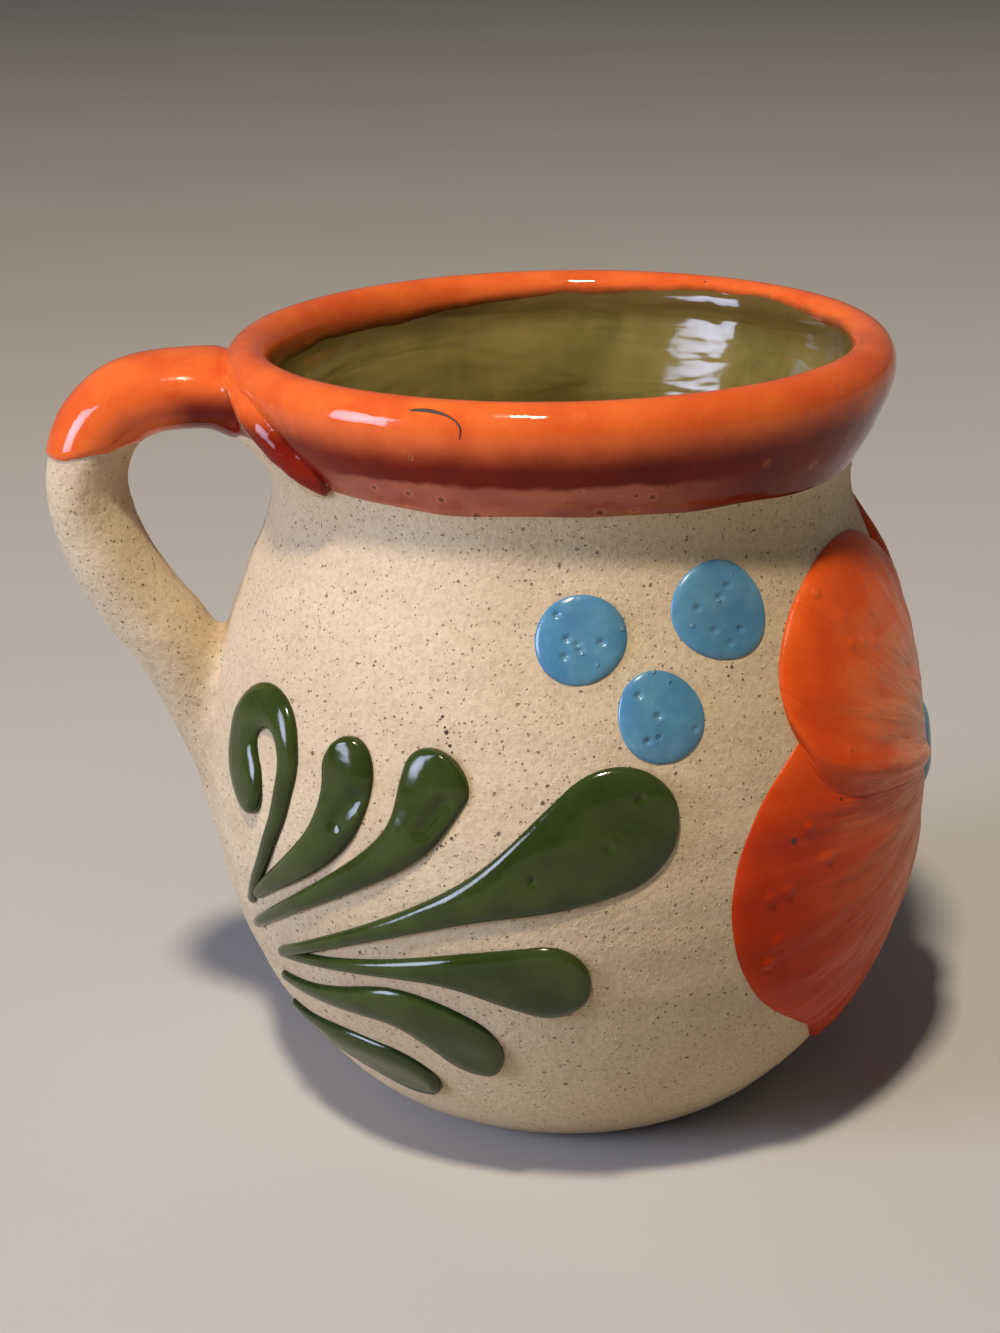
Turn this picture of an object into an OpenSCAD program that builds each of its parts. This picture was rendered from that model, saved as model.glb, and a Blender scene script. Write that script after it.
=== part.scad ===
// Clay mug with a round belly, a rolled lip and a pulled handle.
// A dipped orange glaze coats the lip and the top of the handle, an olive glaze lines the inside,
// and thick trailed slip makes the raised leaves, dots and flower.
// Millimetres. Z is up, the foot stands on z = 0, the handle points along -X and the flower faces +X.

/* [Pot] */
// Height of the clay, from the foot to the top of the lip
height = 97.2; // [92:0.1:104]
// Diameter of the flat foot
foot_d = 50; // [44:0.5:56]
// Angle between the foot and the wall that rises from it
foot_angle = 25; // [18:1:35]
// Largest diameter of the belly
belly_d = 91; // [86:0.5:98]
// Height of the widest part of the belly
belly_z = 41; // [36:0.5:46]
// Diameter of the neck outside
neck_d = 71; // [66:0.5:76]
// Height of the lip above the narrowest part of the neck
lip_rise = 17.2; // [15:0.1:20]
// Diameter of the rolled lip outside
lip_d = 80.2; // [77:0.1:86]
// Thickness of the rolled lip
lip_w = 5; // [4:0.1:6]
// Height of the rounded top of the lip
lip_round = 2.9; // [2:0.1:4]
// Thickness of the wall
wall = 4.5; // [3.5:0.1:6]
// Thickness of the floor
floor_t = 6; // [4:0.5:8]

/* [Handle] */
// Distance that the handle's middle line stands out from the belly
handle_out = 13.3; // [10:0.1:18]
// Depth of the handle's upper joint below the top of the lip
handle_drop = 0.4; // [0.3:0.1:2]
// Thickness of the handle in its own plane
handle_t = 10.6; // [8:0.1:12]
// Width of the handle across its plane
handle_w = 13; // [10:0.1:16]
// Radius of the bend at the top of the handle
handle_bend_r = 11.5; // [9:0.1:13]
// Radius of the slow curve below the bend
handle_sweep_r = 24; // [21:0.5:27]
// Height of the point where the tail of the handle fades into the belly
tail_z = 36; // [32:0.5:40]
// Thickness of the slip that lutes the handle to the pot
luting_t = 0.5; // [0.3:0.1:0.8]
// Width of the slip that squeezes out round each joint
luting_lap = 1; // [0.7:0.1:1.5]

/* [Glaze] */
// Thickness of the orange dipped glaze
dip_t = 0.5; // [0.3:0.1:0.8]
// Height of the dip line of the orange glaze above the narrowest part of the neck
dip_up = 2.5; // [1.5:0.1:4]
// Depth of the orange glaze below the top of the lip, inside the mug
dip_inside = 6; // [4:0.5:9]
// Thickness of the olive lining glaze
lining_t = 0.4; // [0.3:0.1:0.8]

/* [Trailed slip] */
// Height of the leaf strokes
leaf_h = 0.9; // [0.5:0.1:1.4]
// Diameter of the smaller blue dots
dot_d = 10.2; // [8:0.1:10.4]
// Height of the blue dots
dot_h = 0.7; // [0.4:0.1:1.2]
// Height of the petals
petal_h = 0.8; // [0.5:0.1:1.4]
// Half of the flower's width along the wall
flower_w = 55; // [48:0.5:64]
// Height of the flower's lower edge above the foot
flower_low_z = 4.5; // [4:0.5:12]
// Gap between the flower's upper edge and the narrowest part of the neck
flower_top_gap = 0.5; // [0.5:0.5:6]
// Diameter of the dot at the flower's middle
centre_d = 13; // [10:0.5:15]
// Height of the dot at the flower's middle
centre_h = 2; // [1:0.1:2.5]
// Gap between a petal and the next one
petal_gap = 0.6; // [0.4:0.1:1.5]

/* [Hidden] */
LEAVES = ["curl_leaf", "bud_leaf", "short_leaf", "broad_leaf", "long_leaf", "low_leaf", "foot_leaf"];
DOTS = ["outer_dot", "upper_dot", "lower_dot"];
SIDES = ["left", "right"];
PETALS = ["left_petal", "bottom_petal", "right_petal", "upper_right_petal", "upper_left_petal"];
$fn = 96;

clay_colour = "#d8c6a6";
orange_colour = "#d9481c";
olive_colour = "#77682f";
green_colour = "#2f4a1e";
blue_colour = "#3f86b8";
red_colour = "#c8371a";

// Radii and heights that follow from the sizes above
foot_r = foot_d / 2;
belly_r = belly_d / 2;
neck_r = neck_d / 2;
lip_r = lip_d / 2;
lip_z = height - lip_round;
neck_z = height - lip_rise;
dip_z = neck_z + dip_up;
handle_top_z = height - handle_drop - luting_lap - handle_t / 2;
handle_reach = belly_r + handle_out;

// How far each stretch of the wall runs on along its tangent before it bends
foot_pull = 8.3;
belly_pull_down = 21;
belly_pull_up = 21;
neck_pull_down = 7;
neck_pull_up = 5;
lip_pull = 5;
floor_pull = 11;
curve_steps = 14;
lip_steps = 12;

// Cubic curve through four control points, as a list of points after the first one when skip is 1
function curve(a, b, c, d, skip = 0, steps = curve_steps) =
    [for (i = [skip:steps]) let (t = i / steps, s = 1 - t)
        s * s * s * a + 3 * s * s * t * b + 3 * s * t * t * c + t * t * t * d];

// Outside of the clay, from the edge of the foot to the widest part of the lip
outside = concat(
    curve([foot_r, 0], [foot_r, 0] + foot_pull * [cos(foot_angle), sin(foot_angle)],
        [belly_r, belly_z - belly_pull_down], [belly_r, belly_z]),
    curve([belly_r, belly_z], [belly_r, belly_z + belly_pull_up],
        [neck_r, neck_z - neck_pull_down], [neck_r, neck_z], 1),
    curve([neck_r, neck_z], [neck_r, neck_z + neck_pull_up],
        [lip_r, lip_z - lip_pull], [lip_r, lip_z], 1));

// Rounded top of the lip
lip_mid_r = lip_r - lip_w / 2;
lip_top = [for (i = [1:lip_steps - 1]) let (a = 180 * i / lip_steps)
    [lip_mid_r + lip_w / 2 * cos(a), lip_z + lip_round * sin(a)]];

// Inside of the clay, from the lip to the edge of the flat floor
lip_in_r = lip_r - lip_w;
neck_in_r = neck_r - wall;
belly_in_r = belly_r - wall;
floor_r = foot_r - wall;
inside = concat(
    curve([lip_in_r, lip_z], [lip_in_r, lip_z - lip_pull],
        [neck_in_r, neck_z + neck_pull_up], [neck_in_r, neck_z]),
    curve([neck_in_r, neck_z], [neck_in_r, neck_z - neck_pull_down],
        [belly_in_r, belly_z + belly_pull_up], [belly_in_r, belly_z], 1),
    curve([belly_in_r, belly_z], [belly_in_r, belly_z - belly_pull_down],
        [floor_r + floor_pull, floor_t], [floor_r, floor_t], 1));

// Radius of the clay at a height, outside and inside
function outside_r(z) = lookup(z, [for (p = outside) [p[1], p[0]]]);
function inside_r(z) = lookup(z, [for (p = inside) [p[1], p[0]]]);

// Outline moved off the clay by a distance, square to itself
function lifted(points, lift) =
    [for (i = [0:len(points) - 1])
        let (run = points[min(i + 1, len(points) - 1)] - points[max(i - 1, 0)], along = run / norm(run))
        points[i] + lift * [along[1], -along[0]]];
function reversed(points) = [for (i = [len(points) - 1:-1:0]) points[i]];

// Coat of even thickness on a stretch of the clay
module coat(points, thickness) {
    rotate_extrude() polygon(concat(points, reversed(lifted(points, thickness))));
}

// Everything inside the outer surface of the clay, lifted by a thickness of slip
module pot_block(lift) {
    over_lip = [for (i = [0:lip_steps / 2 - 1]) lip_top[i]];
    skin = lifted(concat(outside, over_lip), lift);
    rotate_extrude() polygon(concat([[0, skin[0][1]]], skin, [[0, skin[len(skin) - 1][1]]]));
}

module clay_body() {
    color(clay_colour) rotate_extrude()
        polygon(concat([[0, 0]], outside, lip_top, inside, [[0, floor_t]]));
}

// Handle: a level top arm, a tight bend, a slower curve into the belly and a tail thumbed down the wall
bend_x = handle_reach - handle_bend_r;
bend_z = handle_top_z - handle_bend_r;
sweep_x = handle_reach - handle_sweep_r;
sweep_angle = acos((belly_in_r - sweep_x) / handle_sweep_r);
tail_angle = 55;
tail_x = sweep_x + handle_sweep_r * cos(tail_angle);
tail_top_z = bend_z - handle_sweep_r * sin(tail_angle);
tail_top_r = 6.2;
tail_end_r = 2.6;
tail_proud = 0.4;
tail_end_x = outside_r(tail_z) - tail_end_r + tail_proud;
tail_length = norm([tail_x - tail_end_x, tail_top_z - tail_z]);
tail_lean = atan2(tail_x - tail_end_x, tail_top_z - tail_z);
section_steps = 32;

module handle_section(grow, turned) {
    across = turned ? handle_w / 2 + grow : handle_t / 2 + grow;
    up = turned ? handle_t / 2 + grow : handle_w / 2 + grow;
    polygon([for (i = [0:section_steps - 1])
        let (a = 360 * i / section_steps) [across * cos(a), up * sin(a)]]);
}

module top_arm(grow) {
    translate([-bend_x, 0, handle_top_z]) rotate([90, 0, 90])
        linear_extrude(bend_x - neck_in_r) handle_section(grow, true);
}

module bend(grow) {
    rotate([0, 0, 180]) translate([bend_x, 0, bend_z]) rotate([90, 0, 0])
        rotate_extrude(angle = 90) translate([handle_bend_r, 0]) handle_section(grow, false);
}

module upper_arm(grow) {
    top_arm(grow);
    bend(grow);
}

module lower_curve(grow) {
    rotate([0, 0, 180]) translate([sweep_x, 0, bend_z]) rotate([-90, 0, 0])
        rotate_extrude(angle = sweep_angle) translate([handle_sweep_r, 0]) handle_section(grow, false);
}

module tail(grow) {
    translate([-tail_x, 0, tail_top_z]) rotate([0, 180 - tail_lean, 0])
        cylinder(h = tail_length, r1 = tail_top_r + grow, r2 = tail_end_r + grow);
}

module handle() {
    color(clay_colour) difference() {
        union() {
            upper_arm(0);
            lower_curve(0);
            tail(0);
        }
        pot_block(luting_t);
    }
}

// Slip between the handle and the pot, squeezed out round each joint
module luting() {
    color(clay_colour) intersection() {
        difference() {
            pot_block(luting_t);
            pot_block(0);
        }
        children();
    }
}

module upper_luting() {
    luting() upper_arm(luting_lap);
}

module lower_luting() {
    luting() union() {
        lower_curve(luting_lap);
        tail(luting_lap);
    }
}

// Glazes
module lining_glaze() {
    top_z = height - dip_inside;
    edge = [[inside_r(top_z), top_z]];
    coated = concat(edge, [for (p = inside) if (p[1] < top_z) p]);
    skin = lifted(coated, lining_t);
    color(olive_colour) rotate_extrude() polygon(concat(
        coated, [[0, floor_t], [0, floor_t + lining_t]], reversed(skin)));
}

module lip_glaze() {
    low_in_z = height - dip_inside;
    coated = concat(
        [[outside_r(dip_z), dip_z]],
        [for (p = outside) if (p[1] > dip_z) p],
        lip_top,
        [for (p = inside) if (p[1] > low_in_z) p],
        [[inside_r(low_in_z), low_in_z]]);
    color(orange_colour) difference() {
        coat(coated, dip_t);
        difference() {
            upper_arm(luting_lap);
            pot_block(-handle_drop / 2);
        }
    }
}

module handle_glaze() {
    color(orange_colour) difference() {
        intersection() {
            upper_arm(dip_t);
            translate([-2 * handle_reach, -handle_w, dip_z])
                cube([2 * handle_reach, 2 * handle_w, height]);
        }
        upper_arm(0);
        pot_block(luting_t);
    }
}

// Trailed slip. A place on the wall is [turn, up]: degrees round from the handle, and hundredths of the
// height of the neck. The leaves and dots are drawn flat in such units, so they stretch with the pot.
seat_gap = 0.06;
slope_step = 0.5;
unit_mm = neck_z / 100;
deg_mm = PI * belly_r / 180;
function wall_slope(z) = (outside_r(z + slope_step) - outside_r(z - slope_step)) / (2 * slope_step);

function wall_point(place, lift) =
    let (z = place[1] * unit_mm,
        slope = wall_slope(z),
        out = [1, -slope] / norm([1, slope]),
        r = outside_r(z) + (lift + seat_gap) * out[0],
        azimuth = 180 + place[0])
    [r * cos(azimuth), r * sin(azimuth), z + (lift + seat_gap) * out[1]];

// A closed skin over rows of places on the wall: row i has a line of points across the stroke.
// The lifted rows make the top and the same rows at the wall make the seat.
module slip_patch(rows, lifts) {
    n = len(rows);
    m = len(rows[0]);
    top = [for (i = [0:n - 1]) for (j = [0:m - 1]) wall_point(rows[i][j], lifts[i][j])];
    seat = [for (i = [0:n - 1]) for (j = [0:m - 1]) wall_point(rows[i][j], 0)];
    half = n * m;
    polyhedron(concat(top, seat), concat(
        [for (i = [0:n - 2]) for (j = [0:m - 2]) let (a = i * m + j) each
            [[a, a + 1, a + m + 1], [a, a + m + 1, a + m]]],
        [for (i = [0:n - 2]) for (j = [0:m - 2]) let (a = half + i * m + j) each
            [[a, a + m + 1, a + 1], [a, a + m, a + m + 1]]],
        [for (j = [0:m - 2]) each edge_wall(j, j + 1, half)],
        [for (j = [0:m - 2]) let (a = (n - 1) * m + j) each edge_wall(a + 1, a, half)],
        [for (i = [0:n - 2]) let (a = i * m) each edge_wall(a + m, a, half)],
        [for (i = [0:n - 2]) let (a = i * m + m - 1) each edge_wall(a, a + m, half)]));
}
function edge_wall(a, b, half) = [[a, a + half, b + half], [a, b + half, b]];

// Thickness of the slip at its own edge, and how square its shoulders are
edge_lift = 0.15;
shoulder = 3;
function crown(x) = pow(1 - pow(min(abs(x), 1), shoulder), 1 / 2);

// Room that the flower leaves for the drawing, and how far the drawing is squeezed where that is too little
turn_ratio = 0.993;
drawn_angle = 110.7;
squeeze = min(1, (180 - flower_w / deg_mm) / drawn_angle);

// Leaves: control points of the middle line as [turn, up], half width at the root, half width at the
// bulb, and how late the stroke swells
leaf_lines = [
    [[[27, 39.4], [64, 86.3], [10, 76.9], [33, 58.1]], 0.6, 5.8, 1.1],
    [[[30.5, 42.5], [42, 51.9], [56.5, 58.1], [52.5, 73.1]], 0.6, 5.4, 1.1],
    [[[26.5, 35.6], [71, 63.1], [61.5, 57.5], [70, 73.1]], 0.6, 6, 1.2],
    [[[33, 33.1], [87, 60], [69.5, 48.8], [102.5, 68.1]], 0.6, 10.9, 1.8],
    [[[34, 33.8], [76.5, 43.1], [66, 40.6], [90.5, 39.4]], 0.6, 7.6, 1.9],
    [[[30.5, 28.1], [58.5, 29.4], [56.5, 38.1], [75.5, 22.5]], 0.6, 6.4, 1.2],
    [[[26.5, 20.6], [40, 18.8], [39, 21.3], [62.5, 15.6]], 0.6, 5.5, 1.2]];
leaf_steps = 18;
leaf_across = 6;
root_round = 0.5;

// Half width of a stroke at a share t of its length: it swells from the root to a round end
function stroke_half(t, length, root, bulb, swell) =
    let (full = root + (bulb - root) * pow(t, swell),
        from_end = (1 - t) * length / bulb,
        from_root = t * length / root)
    full * round_off(from_end) * round_off(from_root + root_round);
function round_off(x) = sqrt(max(0, 1 - pow(1 - min(x, 1), 2)));

// One end of the steps is drawn out so that the round end is smooth
end_power = 1.5;
end_share = 0.002;
fine_steps = 60;
function stroke_share(i, steps) = min(max(1 - pow(1 - i / steps, end_power), end_share), 1 - end_share);

module stroke(line, root, bulb, swell, lift) {
    flat = [for (p = line) [p[0] * turn_ratio, p[1]]];
    fine = curve(flat[0], flat[1], flat[2], flat[3], 0, fine_steps);
    length = path_length(fine);
    rows = [for (i = [0:leaf_steps])
        let (t = stroke_share(i, leaf_steps),
            here = curve_at(flat, t),
            along = curve_at(flat, t + end_share) - curve_at(flat, t - end_share),
            square_on = [-along[1], along[0]] / norm(along),
            half = stroke_half(t, length, root, bulb, swell))
        [for (j = [0:leaf_across]) let (x = -cos(180 * j / leaf_across), q = here + half * x * square_on)
            [q[0] / turn_ratio * squeeze, q[1]]]];
    lifts = [for (i = [0:leaf_steps])
        let (t = stroke_share(i, leaf_steps),
            half_mm = stroke_half(t, length, root, bulb, swell) * unit_mm)
        [for (j = [0:leaf_across])
            edge_lift + (lift - edge_lift) * min(1, half_mm / lift) * crown(cos(180 * j / leaf_across))]];
    slip_patch(rows, lifts);
}
function curve_at(c, t) = let (s = 1 - t)
    s * s * s * c[0] + 3 * s * s * t * c[1] + 3 * s * t * t * c[2] + t * t * t * c[3];
function path_length(points) =
    let (steps = [for (i = [1:len(points) - 1]) norm(points[i] - points[i - 1])])
    steps * [for (s = steps) 1];

module leaf(i) {
    drawn = leaf_lines[i];
    color(green_colour) stroke(drawn[0], drawn[1], drawn[2], drawn[3], leaf_h);
}

// Dots: a round patch about a place on the wall
dot_places = [[90, 88.8], [115, 90.6], [102, 78.1]];
dot_scales = [1, 1.14, 1];
dot_rings = 5;
dot_spokes = 20;

module round_dab(place, d, lift) {
    rings = [for (i = [0:dot_rings]) sin(90 * i / dot_rings)];
    middle = wall_point(place, lift);
    mm_turn = 180 / (PI * outside_r(place[1] * unit_mm));
    mm_up = 1 / norm([1, wall_slope(place[1] * unit_mm)]) / unit_mm;
    spots = [for (ring = rings, k = [0:dot_spokes - 1]) if (ring > 0)
        let (a = 360 * k / dot_spokes, reach = d / 2 * ring)
        place + [reach * cos(a) * mm_turn, reach * sin(a) * mm_up]];
    lifts = [for (ring = rings, k = [0:dot_spokes - 1]) if (ring > 0)
        edge_lift + (lift - edge_lift) * crown(ring)];
    count = len(spots);
    points = concat(
        [for (k = [0:count - 1]) wall_point(spots[k], lifts[k])],
        [for (k = [0:count - 1]) wall_point(spots[k], 0)],
        [middle, wall_point(place, 0)]);
    next = function (k) (k + 1) % dot_spokes;
    polyhedron(points, concat(
        [for (k = [0:dot_spokes - 1]) [2 * count, next(k), k]],
        [for (k = [0:dot_spokes - 1]) [2 * count + 1, count + k, count + next(k)]],
        [for (i = [0:dot_rings - 2], k = [0:dot_spokes - 1])
            let (a = i * dot_spokes, b = a + dot_spokes) each
            [[a + k, a + next(k), b + next(k)], [a + k, b + next(k), b + k]]],
        [for (i = [0:dot_rings - 2], k = [0:dot_spokes - 1])
            let (a = count + i * dot_spokes, b = a + dot_spokes) each
            [[a + k, b + next(k), a + next(k)], [a + k, b + k, b + next(k)]]],
        [for (k = [0:dot_spokes - 1]) let (a = count - dot_spokes) each
            edge_wall(a + next(k), a + k, count)]));
}

module dot(i) {
    place = [dot_places[i][0] * squeeze, dot_places[i][1]];
    color(blue_colour) round_dab(place, dot_d * dot_scales[i] * squeeze, dot_h);
}

// Flower: lobed petals round a raised dot, opposite the handle
flower_top_z = neck_z - flower_top_gap;
flower_z = (flower_top_z + flower_low_z) / 2;
flower_rise = (flower_top_z - flower_low_z) / 2;
petal_rows = 14;
petal_across = 16;

// Angles where each petal starts and where it reaches farthest, seen from the middle of the flower, and how
// far it reaches there as a share of the flower's half width and half height
start_angles = [153.5, 223, 297, 371, 457];
start_shares = [0.89, 0.93, 0.85, 0.85, 0.7];
peak_angles = [197, 260, 334, 413, 491];
peak_shares = [1, 1, 1, 1.03, 1.058];
lobe_power = 2.3;

module petal(i) {
    inner_r = centre_d / 2 + petal_gap;
    after = (i + 1) % len(PETALS);
    end_angle = start_angles[after] + (after == 0 ? 360 : 0);
    function spot(share, x) =
        let (side_angle = x < 0 ? peak_angles[i] - start_angles[i] : end_angle - peak_angles[i],
            side_share = x < 0 ? start_shares[i] : start_shares[after],
            reach = peak_shares[i] + (side_share - peak_shares[i]) * pow(abs(x), lobe_power),
            a = peak_angles[i] + x * side_angle,
            tip = [flower_w * reach * cos(a), flower_rise * reach * sin(a)],
            root = inner_r * [cos(a), sin(a)],
            aside = -sign(x) * pow(abs(x), 2) * petal_gap / 2 * [-sin(a), cos(a)],
            q = root + share * (tip - root) + aside)
        [180 + q[0] / deg_mm, (flower_z + q[1]) / unit_mm];
    shares = [for (k = [0:petal_rows]) k / petal_rows];
    sides = [for (j = [0:petal_across]) 2 * j / petal_across - 1];
    rows = [for (share = shares) [for (x = sides) spot(share, x)]];
    lifts = [for (share = shares) [for (x = sides)
        edge_lift + (petal_h - edge_lift) * crown(x) * crown(2 * share - 1)]];
    color(red_colour) slip_patch(rows, lifts);
}

module flower_centre() {
    color(blue_colour) round_dab([180, flower_z / unit_mm], centre_d, centre_h);
}

// The right side of the mug mirrors the left one
module on_side(side) {
    mirror([0, side == "left" ? 0 : 1, 0]) children();
}

clay_body();
handle();
upper_luting();
lower_luting();
lining_glaze();
lip_glaze();
handle_glaze();
for (side = SIDES, i = [0:len(LEAVES) - 1])
    on_side(side) leaf(i);
for (side = SIDES, i = [0:len(DOTS) - 1])
    on_side(side) dot(i);
for (i = [0:len(PETALS) - 1])
    petal(i);
flower_centre();
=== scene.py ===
import math

import bmesh
import bpy
import numpy as np
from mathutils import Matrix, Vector


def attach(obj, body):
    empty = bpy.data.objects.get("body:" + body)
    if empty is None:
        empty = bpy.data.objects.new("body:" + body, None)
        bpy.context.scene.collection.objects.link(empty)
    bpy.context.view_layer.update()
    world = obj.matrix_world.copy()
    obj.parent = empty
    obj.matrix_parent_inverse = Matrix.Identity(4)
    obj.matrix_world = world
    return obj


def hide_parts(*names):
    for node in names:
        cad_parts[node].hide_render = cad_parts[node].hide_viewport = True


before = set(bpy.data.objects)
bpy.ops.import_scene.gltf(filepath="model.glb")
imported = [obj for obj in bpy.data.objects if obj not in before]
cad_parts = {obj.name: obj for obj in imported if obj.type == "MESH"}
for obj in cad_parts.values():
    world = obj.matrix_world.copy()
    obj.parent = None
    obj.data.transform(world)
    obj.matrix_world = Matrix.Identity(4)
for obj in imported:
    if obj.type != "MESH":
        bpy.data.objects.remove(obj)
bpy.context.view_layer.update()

# Hand-thrown clay mug with a dipped rim, an olive lining and raised ornament in trailed slip.
# Shapes are worked out in millimetres and turned into metres when a mesh is made.
MM = 0.001
TURN = 2 * math.pi

# Sizes of the pot
HEIGHT, FOOT_R, BELLY_R, BELLY_Z, NECK_R, NECK_Z = 97.2, 25.0, 45.5, 41.0, 35.5, 80.0
LIP_R, LIP_W, LIP_ROUND, WALL, FLOOR = 40.1, 5.0, 2.9, 4.5, 6.0
LIP_Z = HEIGHT - LIP_ROUND
FOOT_ANGLE, FOOT_PULL, FLOOR_PULL = math.radians(25), 8.3, 11.0
# How far the wall's curve runs straight past the belly, the neck and the lip
BELLY_PULL, NECK_PULL, LIP_PULL = 21.0, 7.0, 5.0

# Unevenness from throwing: out of round, and a shallow spiral of finger ridges
OUT_OF_ROUND, OVAL_PHASE, RIDGE, RIDGE_PITCH = 0.22, 0.6, 0.05, 6.5


class Tree:
    """A short way to add nodes to a tree and join them up."""

    def __init__(self, tree):
        self.tree = tree

    def put(self, socket, value):
        if isinstance(value, bpy.types.NodeSocket):
            self.tree.links.new(value, socket)
        else:
            socket.default_value = value

    def add(self, kind, ins=(), **settings):
        node = self.tree.nodes.new(kind)
        for key, value in settings.items():
            setattr(node, key, value)
        for key, value in dict(ins).items():
            self.put(node.inputs[key], value)
        return node

    def out(self, kind, ins=(), **settings):
        """Adds a node and gives its first output."""
        return self.add(kind, ins, **settings).outputs[0]

    def geo(self, kind, ins=(), **settings):
        return self.out("GeometryNode" + kind, ins, **settings)

    def math(self, operation, *values, kind="ShaderNodeMath"):
        return self.out(kind, enumerate(values), operation=operation)

    def vmath(self, operation, *values):
        return self.math(operation, *values, kind="ShaderNodeVectorMath")

    def plus(self, a, b):
        return self.math("ADD", a, b)

    def less(self, a, b):
        return self.math("SUBTRACT", a, b)

    def times(self, a, b):
        return self.math("MULTIPLY", a, b)

    def scaled(self, vector, factor):
        return self.out("ShaderNodeVectorMath", {"Vector": vector, "Scale": factor}, operation="SCALE")

    def joined(self, x=0.0, y=0.0, z=0.0):
        return self.out("ShaderNodeCombineXYZ", {"X": x, "Y": y, "Z": z})

    def split(self, vector):
        return self.add("ShaderNodeSeparateXYZ", {"Vector": vector}).outputs


# Finishes


class Finish(Tree):
    """A procedural finish, read in the piece's own coordinates, which are in metres."""

    def __init__(self, name):
        self.made = bpy.data.materials.new(name)
        self.made.use_nodes = True
        super().__init__(self.made.node_tree)
        self.shader = self.tree.nodes["Principled BSDF"]
        self.place = self.add("ShaderNodeTexCoord").outputs["Object"]

    def set(self, **values):
        for key, value in values.items():
            self.put(self.shader.inputs[key.replace("_", " ")], value)

    def over(self, share, tint, much=None):
        """Lays a tint over the colour so far, by a share, which much can weaken."""
        self.colour = self.mix(share if much is None else self.times(share, much), self.colour, tint)

    def done(self, roughness, normal, sheen):
        self.set(Base_Color=self.colour, Roughness=roughness, Normal=normal, Specular_IOR_Level=sheen)
        return self.made

    def noise(self, scale, detail=2.0, rough=0.5, place=None, twist=0.0):
        return self.add("ShaderNodeTexNoise", {
            "Vector": self.place if place is None else place, "Scale": scale, "Detail": detail,
            "Roughness": rough, "Distortion": twist}).outputs["Fac"]

    def band(self, value, low, high, to_low=0.0, to_high=1.0):
        """A soft step of a value from low to high, which may also run down."""
        return self.add("ShaderNodeMapRange", {
            "Value": value, "From Min": low, "From Max": high, "To Min": to_low, "To Max": to_high},
            interpolation_type="SMOOTHSTEP").outputs["Result"]

    def mix(self, share, a, b):
        node = self.add("ShaderNodeMix", data_type="RGBA")
        for index, value in ((0, share), (6, a), (7, b)):
            if isinstance(value, tuple):
                value = (*value, 1.0)
            self.put(node.inputs[index], value)
        return node.outputs[2]

    def specks(self, scale, share, size, place=None):
        """Mask of scattered spots: share of the cells that hold one, and its size in cells."""
        place = self.place if place is None else place
        cell = self.add("ShaderNodeTexVoronoi", {"Vector": place, "Scale": scale})
        chance, grade, _ = self.split(cell.outputs["Color"])
        width = self.times(self.plus(grade, 0.35), size)
        near = self.math("DIVIDE", cell.outputs["Distance"], width)
        return self.times(self.band(near, 1.0, 0.55), self.math("LESS_THAN", chance, share))

    def relief(self, *layers):
        """Small bumps, one layer on the other: height, depth in mm and strength of each."""
        under = {}
        for height, depth, strength in layers:
            ins = {"Height": height, "Distance": depth * MM, "Strength": strength, **under}
            under = {"Normal": self.out("ShaderNodeBump", ins)}
        return under["Normal"]

    def lay(self):
        """Where a point lies in its coat: along it, across it, and how full the coat is there."""
        return self.split(self.add("ShaderNodeAttribute", attribute_name="lay").outputs["Vector"])


def clay_finish(name, pale, dull):
    """Bare sandy clay with dark pits in three sizes."""
    f = Finish(name)
    stirred = f.vmath("ADD", f.place, f.scaled(f.add("ShaderNodeTexNoise", {
        "Vector": f.place, "Scale": 2200.0, "Detail": 1.0}).outputs["Color"], 0.0004))
    cloud = f.noise(45.0, 3.0, 0.6)
    sand = f.noise(1250.0, 4.0, 0.7)
    f.colour = f.mix(f.band(cloud, 0.35, 0.65), pale, dull)
    f.over(f.band(sand, 0.58, 0.36, 0.0, 0.30), (0.36, 0.25, 0.14))
    f.over(f.band(f.noise(2600.0, 2.0), 0.55, 0.75, 0.0, 0.35), (0.76, 0.64, 0.47))
    pits = []
    for scale, share, size, dark, shade in ((1700.0, 0.62, 0.22, 0.60, (0.17, 0.09, 0.04)),
                                            (1000.0, 0.50, 0.18, 0.75, (0.12, 0.065, 0.032)),
                                            (420.0, 0.24, 0.12, 0.85, (0.07, 0.04, 0.022))):
        pits.append(f.specks(scale, share, size, stirred))
        f.over(pits[-1], shade, dark)
    scuff = f.times(f.band(f.noise(130.0, 5.0, 0.75), 0.66, 0.78), 0.32)
    f.over(scuff, (0.33, 0.24, 0.15))
    pitted = f.less(1.0, f.math("MAXIMUM", pits[0], pits[1]))
    normal = f.relief((sand, 0.22, 0.9), (f.noise(420.0, 2.0), 0.16, 0.5), (pitted, 0.14, 0.9))
    return f.done(f.band(cloud, 0.3, 0.7, 0.74, 0.9), normal, 0.25)


def dark_finish():
    """Dark colour for scratches, cracks and burst bubbles."""
    f = Finish("dark_mark")
    cloud = f.noise(1500.0, 2.0)
    f.colour = f.mix(cloud, (0.030, 0.016, 0.010), (0.075, 0.040, 0.022))
    return f.done(f.band(cloud, 0.3, 0.7, 0.4, 0.7), f.relief((cloud, 0.03, 1.0)), 0.5)


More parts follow.
